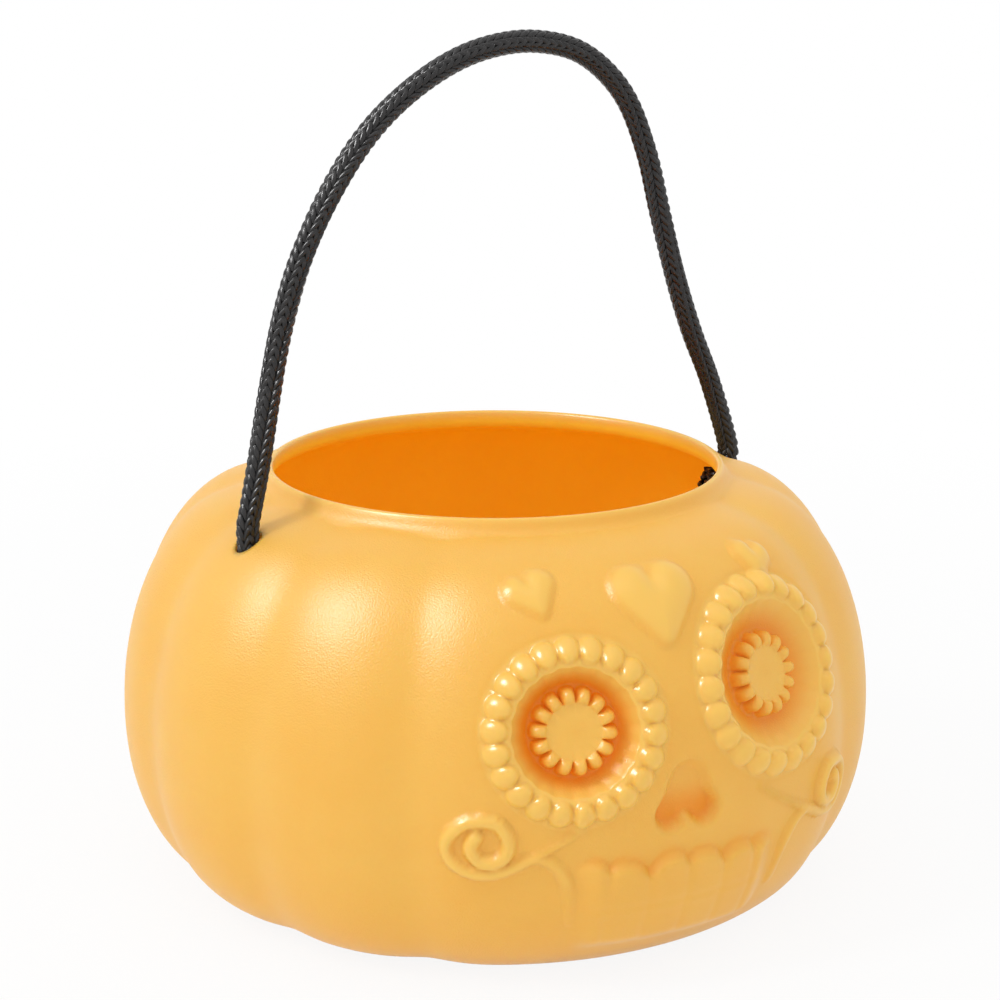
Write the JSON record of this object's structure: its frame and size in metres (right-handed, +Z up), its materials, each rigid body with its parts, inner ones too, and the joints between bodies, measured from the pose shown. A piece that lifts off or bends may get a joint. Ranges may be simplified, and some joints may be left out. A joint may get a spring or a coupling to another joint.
{
  "type": "treat bucket",
  "caption": "Lobed pumpkin-shaped plastic treat bucket with a moulded sugar-skull face and a knotted rope handle that swings over the open mouth.",
  "frame": {"origin": "on the ground under the middle of the bucket", "axes": "+Z up through the mouth, -Y the way the face looks, +X to the right of someone who faces it"},
  "size_m": [0.168, 0.1713, 0.187],
  "materials": {
    "bucket_plastic": "satin moulded polyethylene, yellow-orange all through",
    "rope": "black knitted polyester cord"
  },
  "bodies": {
    "bucket": {"bucket_shell": "bucket_plastic", "left_knot": "rope", "right_knot": "rope"},
    "handle": {"rope_handle": "rope"}
  },
  "joints": [
    {"name": "handle_swing", "type": "hinge", "parent": "bucket", "child": "handle", "pos_m": [0.00059, -0.00396, 0.08796], "axis": [0.989, 0.1478, 0], "range_deg": [-80, 85]}
  ]
}
